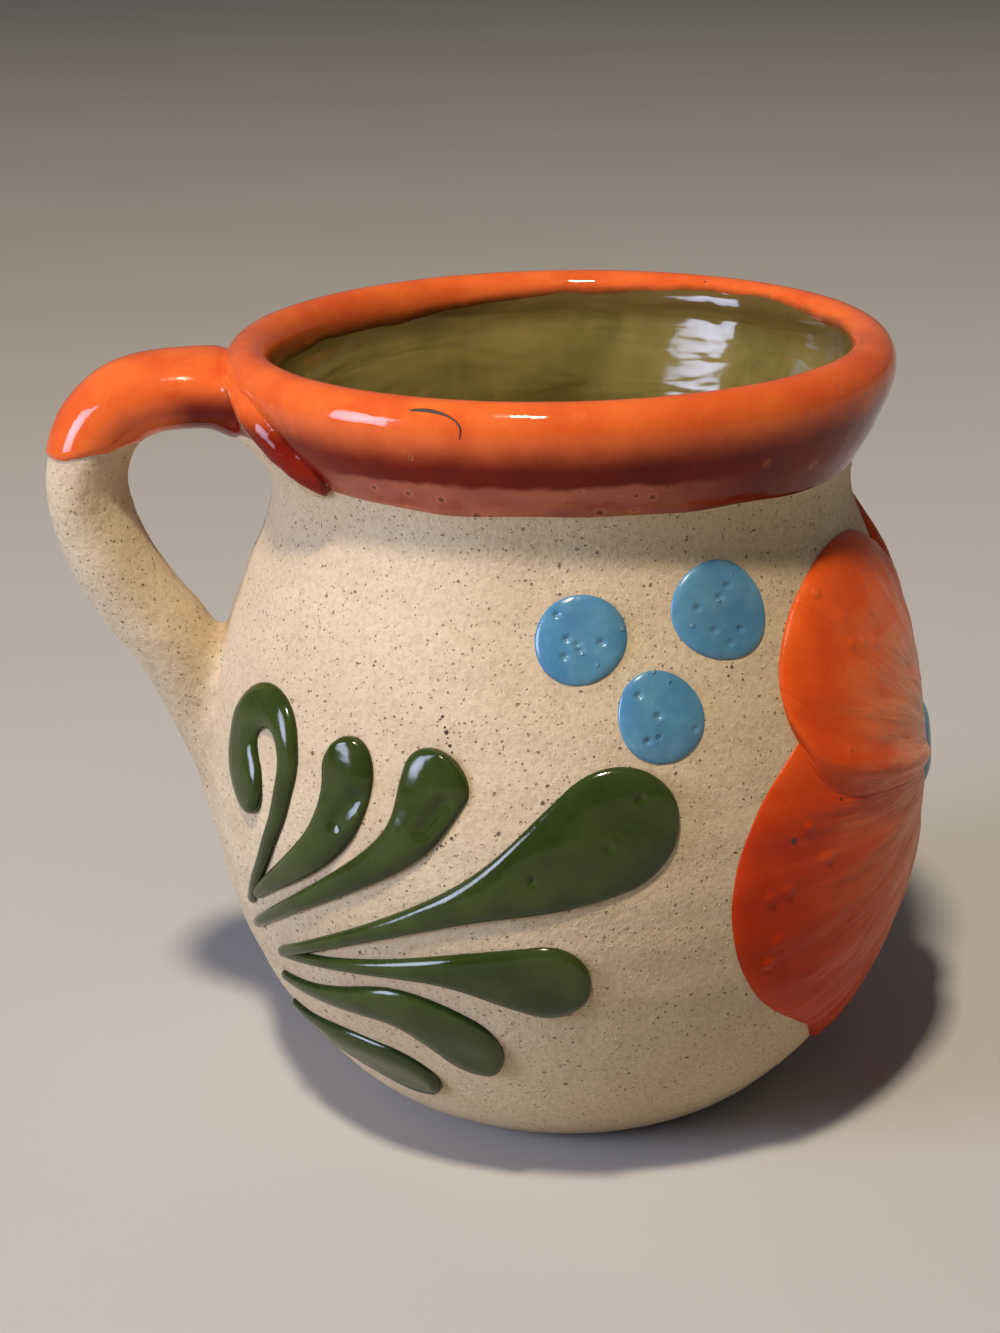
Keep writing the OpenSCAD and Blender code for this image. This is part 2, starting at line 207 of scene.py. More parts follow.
def orange_finish():
    """Orange glaze, dark red on the lip's lower half (pooled glaze and painted shade of the overhang), and
    pale and full of pinholes along its low edge (thin glaze and painted reflection of the lit belly).
    """
    f = Finish("orange_glaze")
    x, y, z = f.split(f.place)
    out = f.add("ShaderNodeVectorMath", {"Vector": f.joined(x, y, 0.0)}, operation="LENGTH").outputs["Value"]
    pool = f.noise(150.0, 3.0, 0.55)
    across = f.lay()[1]
    near_lip = f.band(out, 0.050, 0.044)
    # The lip's lower half, painted dark red: partly pooled glaze, partly painted shade under the lip's
    # overhang
    thick = f.times(f.band(f.plus(z, f.times(pool, 0.001)), 0.0948, 0.0907), near_lip)
    f.colour = f.mix(f.band(pool, 0.3, 0.7), (0.67, 0.098, 0.018), (0.78, 0.142, 0.024))
    f.over(thick, f.mix(f.band(pool, 0.3, 0.7), (0.135, 0.007, 0.002), (0.19, 0.010, 0.003)))
    thin = f.times(f.band(f.noise(420.0, 3.0, 0.6), 0.56, 0.74, 0.0, 0.35), f.less(1.0, thick))
    f.over(thin, (0.80, 0.20, 0.035))
    inner = f.band(f.plus(across, f.times(f.noise(300.0, 3.0), 0.12)), 0.88, 1.02)
    f.over(inner, (0.15, 0.046, 0.010))
    # Pale band along the lip's low edge, where the pinholes gather: partly thin glaze, partly a painted
    # reflection of the lit belly below it
    low_edge = f.times(f.band(f.plus(z, f.times(f.noise(240.0, 3.0), 0.002)), 0.0897, 0.0888), near_lip)
    low_edge = f.times(low_edge, f.times(f.band(x, -0.029, -0.024), f.band(x, 0.020, 0.006)))
    thin_glaze_and_reflection = f.band(f.noise(90.0, 2.0), 0.35, 0.65, 0.5, 1.0)
    f.over(low_edge, (0.46, 0.115, 0.060), thin_glaze_and_reflection)
    hole, halo = (f.math("MAXIMUM", f.times(f.specks(520.0, 0.5, many), low_edge), f.specks(330.0, 0.10, few))
                  for many, few in ((0.21, 0.13), (0.42, 0.26)))
    f.over(halo, (0.62, 0.19, 0.08), 0.3)
    f.over(hole, (0.14, 0.018, 0.008), 0.85)
    normal = f.relief((f.noise(260.0, 2.0), 0.14, 0.45), (f.noise(900.0, 1.0), 0.03, 0.45),
                      (f.less(1.0, hole), 0.14, 0.8))
    sheen = f.math("MULTIPLY_ADD", f.times(thick, f.less(1.0, low_edge)), -0.2, 0.38)
    return f.done(f.band(pool, 0.3, 0.7, 0.05, 0.12), normal, sheen)


def olive_finish():
    """Olive glaze in streaks that run down the lining, brown where it meets the rim."""
    f = Finish("olive_glaze")
    x, y, z = f.split(f.place)
    run = f.joined(f.times(x, 3.0), f.times(y, 3.0), z)
    pool = f.noise(30.0, 4.0, 0.55, run, 0.3)
    f.colour = f.mix(f.band(pool, 0.3, 0.65), (0.140, 0.112, 0.026), (0.225, 0.176, 0.046))
    f.over(f.band(f.noise(110.0, 3.0, 0.6), 0.55, 0.75, 0.0, 0.35), (0.29, 0.23, 0.07))
    f.over(f.band(z, 0.0895, 0.0945, 0.0, 0.75), (0.100, 0.055, 0.013))
    f.over(f.specks(520.0, 0.12, 0.16), (0.03, 0.02, 0.008), 0.55)
    ring = f.noise(60.0, 2.0, 0.5, f.joined(x, y, f.times(z, 4.0)), 0.4)
    normal = f.relief((ring, 1.1, 0.6), (f.noise(170.0, 2.0), 0.16, 0.45), (f.noise(800.0, 1.0), 0.02, 0.45))
    return f.done(f.band(pool, 0.3, 0.7, 0.06, 0.14), normal, 0.42)


def green_finish():
    """Thick green slip, darker at its thin edges."""
    f = Finish("green_slip")
    full = f.lay()[2]
    cloud = f.noise(170.0, 3.0, 0.55)
    f.colour = f.mix(f.band(cloud, 0.3, 0.7), (0.022, 0.037, 0.005), (0.038, 0.057, 0.008))
    f.over(f.band(full, 0.55, 0.0, 0.0, 0.5), (0.012, 0.026, 0.005))
    f.over(f.specks(700.0, 0.08, 0.2), (0.09, 0.14, 0.05), 0.5)
    normal = f.relief((f.noise(420.0, 2.0), 0.07, 0.5), (f.noise(1500.0, 2.0), 0.02, 0.5))
    return f.done(f.band(cloud, 0.3, 0.7, 0.09, 0.18), normal, 0.42)


def blue_finish():
    """Blue slip with pits, and bubbles painted paler, partly as painted glints."""
    f = Finish("blue_slip")
    cloud = f.noise(240.0, 3.0, 0.6)
    f.colour = f.mix(f.band(cloud, 0.35, 0.7), (0.066, 0.208, 0.350), (0.106, 0.270, 0.395))
    # Bubbles painted paler: partly their pale rims, partly painted glints on them
    bubble = f.specks(640.0, 0.30, 0.2)
    f.over(bubble, (0.30, 0.48, 0.58), 0.22)
    pit = f.specks(620.0, 0.22, 0.2)
    f.over(pit, (0.02, 0.09, 0.19), 0.5)
    normal = f.relief((cloud, 0.10, 0.6), (f.less(bubble, pit), 0.2, 0.9))
    return f.done(f.band(cloud, 0.3, 0.7, 0.14, 0.28), normal, 0.4)


def red_finish():
    """Red slip brushed outwards from the flower's middle, where pale slip shows through."""
    f = Finish("red_slip")
    along, across, _ = f.lay()
    z = f.split(f.place)[2]

    def brushed(detail, rough, twist, many, long, seed):
        """Marks drawn out from the flower's middle: how many side by side, how often they change along it."""
        drag = f.joined(f.times(along, many), f.times(across, long), seed)
        return f.noise(1.0, detail, rough, drag, twist)

    streak = brushed(4.0, 0.62, 0.5, 22.0, 1.3, 0.0)
    fine = brushed(3.0, 0.6, 0.3, 70.0, 2.2, 4.0)
    wave = brushed(2.0, 0.5, 0.8, 7.0, 1.7, 2.0)
    cloud = f.noise(120.0, 3.0, 0.6)
    f.colour = f.mix(f.band(cloud, 0.3, 0.7), (0.42, 0.028, 0.003), (0.52, 0.042, 0.005))
    bright = f.mix(f.band(cloud, 0.3, 0.7), (0.68, 0.074, 0.008), (0.79, 0.116, 0.015))
    f.over(f.band(z, 0.044, 0.062), bright)
    inner = f.band(f.plus(across, f.times(f.less(streak, 0.5), 1.1)), 0.75, -0.45)
    f.over(inner, (0.82, 0.190, 0.055), 0.7)
    salmon = f.times(f.times(f.band(wave, 0.40, 0.52), inner), f.band(z, 0.040, 0.048))
    f.over(salmon, (0.72, 0.27, 0.13), 0.75)
    middle = f.times(f.band(across, 0.25, -0.6), f.band(fine, 0.42, 0.62))
    middle = f.times(middle, f.band(z, 0.028, 0.042))
    f.over(middle, (0.78, 0.34, 0.18), 0.7)
    f.over(f.band(streak, 0.42, 0.25), (0.36, 0.020, 0.004), 0.45)
    # Painted shade in the crease along the petal's sides, where a neighbour's paint folds over it
    fold_shade = f.band(f.math("ABSOLUTE", f.less(along, 0.5)), 0.455, 0.5, 0.0, 0.6)
    f.over(fold_shade, (0.30, 0.015, 0.004))
    f.over(f.specks(500.0, 0.04, 0.2), (0.05, 0.02, 0.015), 0.8)
    blister = f.specks(260.0, 0.16, 0.2)
    normal = f.relief((streak, 0.30, 0.6), (f.times(wave, inner), 0.9, 0.6),
                      (f.times(fine, inner), 0.16, 0.8), (blister, 0.25, 0.7),
                      (f.noise(700.0, 2.0), 0.04, 0.6))
    sheen = f.math("MULTIPLY_ADD", blister, 0.3, f.band(z, 0.034, 0.052, 0.09, 0.2))
    return f.done(f.band(streak, 0.3, 0.7, 0.22, 0.40), normal, sheen)


CLAY = clay_finish("clay", (0.65, 0.525, 0.355), (0.58, 0.455, 0.295))
SLIP = clay_finish("luting_slip", (0.63, 0.505, 0.335), (0.56, 0.435, 0.28))
ORANGE, OLIVE, GREEN, BLUE, RED = orange_finish(), olive_finish(), green_finish(), blue_finish(), red_finish()
DARK = dark_finish()


# The wall's outline, from the middle of the foot up the outside, over the lip and down to the floor


def bezier(t, *control):
    """Points of a curve with four control points, at shares t of it."""
    a, b, c, d = np.array(control)
    t = t[:, None]
    s = 1 - t
    return s**3 * a + 3 * s * s * t * b + 3 * s * t * t * c + t**3 * d


def shares(steps=44):
    return np.arange(1, steps + 1) / steps


def upright(a, b, pull_a, pull_b, steps=44):
    """Curve between two places of the wall, upright at both."""
    up = 1 if b[1] > a[1] else -1
    return bezier(shares(steps), a, (a[0], a[1] + up * pull_a), (b[0], b[1] - up * pull_b), b)


under = np.stack([np.linspace(0, FOOT_R, 24), np.zeros(24)], 1)
belly, neck, rim = (BELLY_R, BELLY_Z), (NECK_R, NECK_Z), (LIP_R, LIP_Z)
outside = np.concatenate([
    bezier(shares(), (FOOT_R, 0),
           (FOOT_R + FOOT_PULL * math.cos(FOOT_ANGLE), FOOT_PULL * math.sin(FOOT_ANGLE)),
           (BELLY_R, BELLY_Z - BELLY_PULL), belly),
    upright(belly, neck, BELLY_PULL, NECK_PULL), upright(neck, rim, LIP_PULL, LIP_PULL, 24)])
arc = np.linspace(0, math.pi, 29)[1:]
lip = np.stack([LIP_R - LIP_W / 2 + LIP_W / 2 * np.cos(arc), LIP_Z + LIP_ROUND * np.sin(arc)], 1)
belly_in, neck_in, rim_in = (BELLY_R - WALL, BELLY_Z), (NECK_R - WALL, NECK_Z), (LIP_R - LIP_W, LIP_Z)
inside = np.concatenate([
    upright(rim_in, neck_in, LIP_PULL, LIP_PULL, 24), upright(neck_in, belly_in, NECK_PULL, BELLY_PULL),
    bezier(shares(), belly_in, (BELLY_R - WALL, BELLY_Z - BELLY_PULL), (FOOT_R - WALL + FLOOR_PULL, FLOOR),
           (FOOT_R - WALL, FLOOR))])
floor_in = np.stack([np.linspace(FOOT_R - WALL, 0, 24)[1:], np.full(23, FLOOR)], 1)
wall_line = np.concatenate([under, outside, lip, inside, floor_in])
wall_run = np.concatenate([[0], np.cumsum(np.linalg.norm(np.diff(wall_line, axis=0), axis=1))])
out_from, out_to = len(under), len(under) + len(outside)


def run_out(z):
    """Distance along the outline to a height on the outside of the pot."""
    return np.interp(z, wall_line[out_from:out_to, 1], wall_run[out_from:out_to])


def radius_out(z):
    return np.interp(z, wall_line[out_from:out_to, 1], wall_line[out_from:out_to, 0])


def swing(turn, z):
    """Unevenness of the radius at a turn and a height."""
    return OUT_OF_ROUND * np.cos(2 * turn + OVAL_PHASE) + RIDGE * np.sin(z * TURN / RIDGE_PITCH + turn)


def on_wall(turn, run, lift=0.0):
    """Point of the wall at a turn and a distance along the outline, lifted off it."""
    at = lambda here: (np.interp(here, wall_run, wall_line[:, 0]), np.interp(here, wall_run, wall_line[:, 1]))
    step = 0.4
    (r, z), (r_on, z_on), (r_back, z_back) = at(run), at(run + step), at(run - step)
    tr, tz = r_on - r_back, z_on - z_back
    size = np.hypot(tr, tz)
    r = r + lift * tz / size + swing(turn, z)
    return np.stack([r * np.cos(turn), r * np.sin(turn), z - lift * tr / size], -1)


# Meshes


def link(name, mesh):
    made = bpy.data.objects.new(name, mesh)
    bpy.context.scene.collection.objects.link(made)
    return made


def line_piece(name, points, **values):
    """A line of points in metres that carries values for the node trees."""
    mesh = bpy.data.meshes.new(name)
    mesh.from_pydata([tuple(p) for p in points], [(i, i + 1) for i in range(len(points) - 1)], [])
    for key, data in values.items():
        data = np.asarray(data, np.float32)
        kind, field = ("FLOAT_VECTOR", "vector") if data.ndim == 2 else ("FLOAT", "value")
        mesh.attributes.new(key, kind, "POINT").data.foreach_set(field, data.ravel())
    return link(name, mesh)


def face_out(mesh):
    work = bmesh.new()
    work.from_mesh(mesh)
    bmesh.ops.remove_doubles(work, verts=work.verts, dist=1e-7)
    bmesh.ops.recalc_face_normals(work, faces=work.faces)
    work.to_mesh(mesh)
    work.free()
    mesh.shade_smooth()


def realise(piece, tree, **inputs):
    """Runs a node tree on a piece and keeps the result as a plain mesh."""
    runner = piece.modifiers.new(tree.name, "NODES")
    runner.node_group = tree
    for item in tree.interface.items_tree:
        if item.name in inputs:
            runner[item.identifier] = inputs[item.name]
    graph = bpy.context.evaluated_depsgraph_get()
    graph.update()
    made = piece.evaluated_get(graph)
    mesh = bpy.data.meshes.new_from_object(made, preserve_all_data_layers=True, depsgraph=graph)
    piece.modifiers.clear()
    piece.data = mesh
    mesh.name = piece.name
    face_out(mesh)
    return piece


def settle(piece, extra=False):
    """Hands a piece over. It replaces the node that its name starts with, unless it is an extra one."""
    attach(piece, "root")
    if not extra:
        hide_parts(piece.name.split(".")[0])


def group(name, inputs, outputs):
    """A new node tree with named sockets, and the ends of them inside it."""
    tree = bpy.data.node_groups.new(name, "GeometryNodeTree")
    kinds = {"G": "Geometry", "F": "Float", "I": "Int", "V": "Vector", "O": "Object", "M": "Material"}
    for side, sockets in (("INPUT", inputs), ("OUTPUT", outputs)):
        for label, kind in sockets:
            tree.interface.new_socket(label, in_out=side, socket_type="NodeSocket" + kinds[kind])
    t = Tree(tree)
    return t, t.add("NodeGroupInput").outputs, t.add("NodeGroupOutput").inputs


UNEVEN = {"Out Of Round": OUT_OF_ROUND * MM, "Ridge": RIDGE * MM, "Ridge Pitch": RIDGE_PITCH * MM}
UNEVEN_SOCKETS = [(label, "F") for label in UNEVEN]


def wall_place_tree():
    """Place on the thrown wall, from a turn, a distance along the outline and a lift off it."""
    t, ins, outs = group("wall_place", [("Outline", "G"), ("Turn", "F"), ("Run", "F"), ("Lift", "F"),
                                        *UNEVEN_SOCKETS], [("Place", "V"), ("Out", "V")])
    at = t.add("GeometryNodeSampleCurve", {"Curves": ins["Outline"], "Length": ins["Run"]}, mode="LENGTH")
    r, _, z = t.split(at.outputs["Position"])
    tr, _, tz = t.split(at.outputs["Tangent"])
    oval = t.math("COSINE", t.math("MULTIPLY_ADD", ins["Turn"], 2.0, OVAL_PHASE))
    spiral = t.math("SINE", t.plus(t.math("DIVIDE", t.times(z, TURN), ins["Ridge Pitch"]), ins["Turn"]))
    uneven = t.plus(t.times(oval, ins["Out Of Round"]), t.times(spiral, ins["Ridge"]))
    near_axis = t.math("MINIMUM", t.math("DIVIDE", r, 20 * MM), 1.0)
    radius = t.plus(t.math("MULTIPLY_ADD", tz, ins["Lift"], r), t.times(uneven, near_axis))
    up = t.less(z, t.times(tr, ins["Lift"]))
    c, s = t.math("COSINE", ins["Turn"]), t.math("SINE", ins["Turn"])
    t.put(outs["Place"], t.joined(t.times(radius, c), t.times(radius, s), up))
    t.put(outs["Out"], t.joined(t.times(tz, c), t.times(tz, s), t.times(tr, -1.0)))
    return t.tree


WALL_PLACE = wall_place_tree()


def dressed(t, geometry, finish):
    """Makes what a tree has placed real and gives it its finish."""
    real = t.geo("RealizeInstances", {"Geometry": geometry})
    return t.geo("SetMaterial", {"Geometry": real, "Material": finish})


def sheet(t, rows, columns):
    return t.geo("MeshGrid", {
        "Size X": 1.0, "Size Y": 1.0, "Vertices X": rows, "Vertices Y": columns})


def wall_place(t, ins, **values):
    """Adds the tree that places points on the wall, with the pot's unevenness passed on."""
    node = t.add("GeometryNodeGroup", values, node_tree=WALL_PLACE)
    for label in UNEVEN:
        t.put(node.inputs[label], ins[label])
    return node.outputs


def wrapped(t, surface, place, finish):
    """Moves a sheet to its place, closes its seams and gives it its finish."""
    moved = t.geo("SetPosition", {"Geometry": surface, "Position": place})
    closed = t.geo("MergeByDistance", {"Geometry": moved, "Distance": 0.002 * MM})
    return dressed(t, t.geo("SetShadeSmooth", {"Geometry": closed}), finish)


def thrown_tree():
    """Turns the outline into the thrown pot."""
    t, ins, outs = group("thrown_wall", [("Geometry", "G"), ("Turns", "I"), ("Steps", "I"), ("Length", "F"),
                                         *UNEVEN_SOCKETS, ("Finish", "M")], [("Geometry", "G")])
    x, y, _ = t.split(t.geo("InputPosition"))
    place = wall_place(t, ins, Outline=t.geo("MeshToCurve", {"Mesh": ins["Geometry"]}),
                       Turn=t.times(t.plus(x, 0.5), TURN), Run=t.times(t.plus(y, 0.5), ins["Length"]))
    t.put(outs["Geometry"], wrapped(t, sheet(t, ins["Turns"], ins["Steps"]), place["Place"], ins["Finish"]))
    return t.tree


def coat_tree():
    """Lays a rounded coat of slip or glaze on the wall. Each point of the line is one row across the coat:
    its middle as (turn, 0, run), half of the row as span, how far the row bows aside, the share of the
    thickness and how dished it is."""
    sizes = ("Thickness", "Sink", "Shoulder", "Lean", "Grain", "Grain Along", "Grain Across", "Seed",
             "Pit Depth", "Pit Size")
    t, ins, outs = group("slip_coat", [
        ("Geometry", "G"), ("Outline", "O"), ("Rows", "I"), ("Around", "I"), ("Pits", "O"),
        *((label, "F") for label in sizes), *UNEVEN_SOCKETS, ("Finish", "M")], [("Geometry", "G")])
    line = t.add("GeometryNodeObjectInfo", {"Object": ins["Outline"]}).outputs["Geometry"]
    outline = t.geo("MeshToCurve", {"Mesh": line})
    here = t.geo("InputPosition")
    x, y, _ = t.split(here)
    along = t.plus(x, 0.5)
    row = t.math("ROUND", t.times(along, t.less(ins["Rows"], 1.0)))
    angle = t.times(t.plus(y, 0.5), TURN)
    across = t.times(t.math("COSINE", angle), -1.0)
    rise = t.math("SINE", angle)

    def row_value(value, kind="FLOAT_VECTOR"):
        return t.geo("SampleIndex", {"Geometry": ins["Geometry"], "Value": value, "Index": row},
                     data_type=kind)

    def row_named(name, kind="FLOAT_VECTOR"):
        return row_value(t.geo("InputNamedAttribute", {"Name": name}, data_type=kind), kind)

    middle, span = row_value(here), row_named("span")
    full, dish = row_named("full", "FLOAT"), row_named("dish", "FLOAT")
    ends = t.less(1.0, t.math("POWER", t.math("ABSOLUTE", across), 8.0))
    sway = t.plus(t.times(ends, t.math("MULTIPLY_ADD", across, 0.45, 0.55)),
                  t.times(t.less(1.0, across), 0.15))
    bow = t.scaled(row_named("bow"), sway)
    turn, _, run = t.split(t.vmath("ADD", t.vmath("ADD", middle, bow), t.scaled(span, across)))
    side = t.math("POWER", t.math("ABSOLUTE", across), ins["Shoulder"])
    crown = t.math("SQRT", t.math("MAXIMUM", t.less(1.0, side), 0.0))
    bowl = t.math("POWER", t.less(1.0, t.times(across, across)), 2.0)
    hollow = t.less(1.0, t.times(dish, bowl))
    grit = t.add("ShaderNodeTexNoise", {"Vector": t.joined(
        t.times(along, ins["Grain Along"]), t.times(across, ins["Grain Across"]), ins["Seed"]),
        "Scale": 1.0, "Detail": 3.0}).outputs["Fac"]
    uneven = t.times(t.less(grit, 0.5), t.times(ins["Grain"], 2.0))
    height = t.math("MULTIPLY_ADD", ins["Thickness"], hollow, uneven)
    leaning = t.math("MULTIPLY_ADD", across, ins["Lean"], 1.0)
    top = t.times(t.times(full, crown), t.times(height, leaning))
    is_top = t.math("GREATER_THAN", rise, -0.0001)
    below = t.times(t.times(rise, ins["Sink"]), t.math("MINIMUM", t.times(full, 4.0), 1.0))
    lift = t.plus(t.times(is_top, top), t.times(t.less(1.0, is_top), below))
    place = wall_place(t, ins, Outline=outline, Turn=turn, Run=run, Lift=lift)
    marks = t.add("GeometryNodeObjectInfo", {"Object": ins["Pits"]}).outputs["Geometry"]
    near = t.add("GeometryNodeProximity", {0: marks, "Sample Position": place["Place"]},
                 target_element="POINTS")
    reach = t.math("MAXIMUM", t.less(1.0, t.math("DIVIDE", near.outputs["Distance"], ins["Pit Size"])), 0.0)
    dent = t.times(t.times(reach, reach), t.less(3.0, t.times(reach, 2.0)))
    dip = t.times(t.times(dent, is_top), t.times(ins["Pit Depth"], near.outputs["Is Valid"]))
    final = t.vmath("SUBTRACT", place["Place"], t.scaled(place["Out"], dip))
    lay = t.joined(along, across, t.times(full, crown))
    kept = t.geo("StoreNamedAttribute", {
        "Geometry": sheet(t, ins["Rows"], ins["Around"]), "Name": "lay", "Value": lay},
        data_type="FLOAT_VECTOR", domain="POINT")
    t.put(outs["Geometry"], wrapped(t, kept, final, ins["Finish"]))
    return t.tree


THROWN, COAT = thrown_tree(), coat_tree()
outline_points = [(r * MM, 0, z * MM) for r, z in wall_line]
outline_guide = line_piece("outline_guide", outline_points)

clay_body = realise(line_piece("clay_body.thrown", outline_points), THROWN, Turns=209, Steps=381,
                    Length=float(wall_run[-1]) * MM, Finish=CLAY, **UNEVEN)
settle(clay_body)


def grit_tree():
    """Scatters sand grains, half sunk, over the unglazed outside of the thrown wall."""
    t, ins, outs = group("sand_grit", [("Geometry", "G"), ("Density", "F"), ("Grain", "F"), ("Low", "F"),
                                       ("High", "F"), ("Seed", "I"), ("Finish", "M")], [("Geometry", "G")])
    x, y, z = t.split(t.geo("InputPosition"))
    facing = t.add("ShaderNodeVectorMath", {0: t.geo("InputNormal"), 1: t.joined(x, y, 0.0)},
                   operation="DOT_PRODUCT").outputs["Value"]
    level = t.times(t.math("GREATER_THAN", z, ins["Low"]), t.math("LESS_THAN", z, ins["High"]))
    points = t.add("GeometryNodeDistributePointsOnFaces", {
        "Mesh": ins["Geometry"], "Selection": t.times(level, t.math("GREATER_THAN", facing, 0.0)),
        "Density": ins["Density"], "Seed": ins["Seed"]}, distribute_method="RANDOM")
    grain = t.geo("MeshIcoSphere", {"Radius": ins["Grain"], "Subdivisions": 1})
    seed = {"Seed": ins["Seed"]}
    size = t.add("FunctionNodeRandomValue", {2: 0.35, 3: 1.0, **seed}, data_type="FLOAT").outputs[1]
    spin = t.out("FunctionNodeRandomValue", {1: (TURN, TURN, TURN), **seed}, data_type="FLOAT_VECTOR")
    grains = t.geo("InstanceOnPoints", {
        "Points": points.outputs["Points"], "Instance": grain, "Rotation": spin,
        "Scale": t.joined(size, size, t.times(size, 0.7))})
    t.put(outs["Geometry"], dressed(t, grains, ins["Finish"]))
    return t.tree


grit = link("clay_body.grit", clay_body.data.copy())
realise(grit, grit_tree(), Density=0.16 / MM**2, Grain=0.17 * MM, Low=1.5 * MM, High=82.5 * MM, Seed=7,
        Finish=CLAY)
settle(grit, extra=True)


def coat(name, low, high, full, dish, finish, thickness, around, sink=0.12, shoulder=3.0, lean=0.0,
         grain=(0.0, 6.0, 1.5), seed=0.0, pits=(), pit_depth=0.3, pit_size=0.5, bow=None, extra=False):
    """A coat on the wall between two edges, each a list of (turn in radians, run in mm). Its fullness and
    dish are numbers or lists, and its grain is a height with the number of bumps along and across."""
    flat = lambda v: np.stack([v[:, 0], np.zeros(len(v)), v[:, 1] * MM], 1)
    bow = np.zeros_like(low) if bow is None else bow
    full, dish = np.broadcast_to(full, len(low)), np.broadcast_to(dish, len(low))
    piece = line_piece(name, flat((low + high) / 2), span=flat((high - low) / 2), bow=flat(bow), full=full,
                       dish=dish)
    inputs = {
        "Outline": outline_guide, "Rows": len(low), "Around": around, "Thickness": thickness * MM,
        "Sink": sink * MM, "Shoulder": shoulder, "Lean": lean, "Grain": grain[0] * MM,
        "Grain Along": grain[1], "Grain Across": grain[2], "Seed": seed, "Pit Depth": pit_depth * MM,
        "Pit Size": pit_size * MM, "Finish": finish, **UNEVEN}
    if len(pits):
        inputs["Pits"] = line_piece(name + ".marks", np.asarray(pits) * MM)
    realise(piece, COAT, **inputs)
    if len(pits):
        bpy.data.objects.remove(inputs["Pits"])
    settle(piece, extra)


# Leaves: control points of the middle line as (turn in degrees, height), half width at the bulb,
# how late the stroke swells, and how dished the bulb is
DEG_MM = BELLY_R * math.pi / 180
LEAF_H, ROOT_HALF = 1.3, 0.75
LEAVES = {
    "curl": ([(27, 31.5), (64, 69), (10, 61.5), (33.4, 46.0)], 4.1, 1.0, 0.1),
    "bud": ([(30.5, 34), (42, 41.5), (56.5, 46.5), (51.8, 58.7)], 4.3, 1.1, 0.0),
    "short": ([(26.5, 28.5), (71, 50.5), (61.5, 46), (69.6, 58.6)], 4.8, 1.2, 0.0),
    "broad": ([(33, 26.5), (87, 48), (69.5, 39), (102.5, 54.5)], 8.7, 1.8, 0.35),
    "long": ([(34, 27), (76.5, 34.5), (66, 32.5), (90.5, 31.5)], 6.1, 1.9, 0.3),
    "low": ([(30.5, 22.5), (58.5, 23.5), (56.5, 30.5), (75.5, 18)], 5.1, 1.2, 0.3),
    "foot": ([(26.5, 16.5), (40, 15), (39, 17), (62.5, 12.5)], 4.4, 1.2, 0.25),
}


def spline(points, per=12):
    """Smooth line through the points."""
    p = np.concatenate([[2 * points[0] - points[1]], points, [2 * points[-1] - points[-2]]])
    t = np.linspace(0, 1, per, endpoint=False)[:, None]
    made = [0.5 * (2 * b + (c - a) * t + (2 * a - 5 * b + 4 * c - d) * t**2 + (3 * b - a - 3 * c + d) * t**3)
            for a, b, c, d in zip(p, p[1:], p[2:], p[3:])]
    return np.concatenate(made + [points[-1:]])


def round_off(x):
    return np.sqrt(np.maximum(0, 1 - (1 - np.minimum(x, 1)) ** 2))


def square_to(way):
    """Unit steps square to the way of a line in a plane."""
    return np.stack([-way[:, 1], way[:, 0]], 1) / np.linalg.norm(way, axis=1)[:, None]


def stroke(points, bulb, swell, steps):
    """Two edges of a stroke in (turn, height), its half width and the share along it, from the root on."""
    c = np.array(points) * (DEG_MM, 1)
    at = lambda t: bezier(t, *c)
    length = np.linalg.norm(np.diff(at(np.linspace(0, 1, 200)), axis=0), axis=1).sum()
    t = 1 - (1 - np.linspace(0, 1, steps)) ** 1.5
    step = 0.002
    square = square_to(at(t + step) - at(t - step))
    half = (ROOT_HALF + (bulb - ROOT_HALF) * t**swell) * round_off((1 - t) * length / bulb) \
        * round_off(t * length / ROOT_HALF)
    low, high = at(t) - half[:, None] * square, at(t) + half[:, None] * square
    return low / (DEG_MM, 1), high / (DEG_MM, 1), half, t


# Marks in the soft slip as (turn, height), with depth and size: bubbles in the broad leaf, and a long dent in
# the bud and the short one
MARKS = {"broad": (((93.0, 49.0), (82.2, 45.4), (97.6, 54.3)), 0.45, 0.75),
         "bud": (np.linspace((52.1, 49.0), (55.2, 52.2), 16), 0.55, 1.8),
         "short": (np.linspace((66.5, 50.1), (69.5, 53.3), 16), 0.55, 1.8)}
# The sides of the mug, with the way that turns run there from the handle
SIDES = {"left": 1, "right": -1}


def spots(places, sign, lift):
    """Points on the wall for a list of (turn in degrees, height), lifted to the top of a coat."""
    turn, z = np.array(places).T
    return on_wall(math.pi + sign * np.radians(turn), run_out(z), lift)


def placed(edge, sign):
    """Edge in (turn in degrees, height) as (turn in radians, run), on one side of the mug."""
    return np.stack([math.pi + sign * np.radians(edge[:, 0]), run_out(edge[:, 1])], 1)


for side, sign in SIDES.items():
    for k, (name, (points, bulb, swell, dish)) in enumerate(LEAVES.items()):
        broad = name == "broad"
        low, high, half, t = stroke(points, bulb, swell, 190 if broad else 120)
        full = np.minimum(1, 0.35 + 0.65 * half / 2.2) * (half > 0)
        marks, mark_depth, mark_size = MARKS.get(name, ((), 0.0, 1.0))
        swollen = np.clip((half / bulb - 0.45) / 0.4, 0, 1) * t
        coat(f"{side}_{name}_leaf.trail", placed(low, sign), placed(high, sign), full,
             dish * swollen, GREEN, LEAF_H, around=101 if broad else 65, grain=(0.07, 5.0, 1.1),
             seed=3.1 * k + (0.0 if side == "left" else 40.0), shoulder=2.4,
             pits=spots(marks, sign, LEAF_H) if len(marks) else (), pit_depth=mark_depth, pit_size=mark_size)

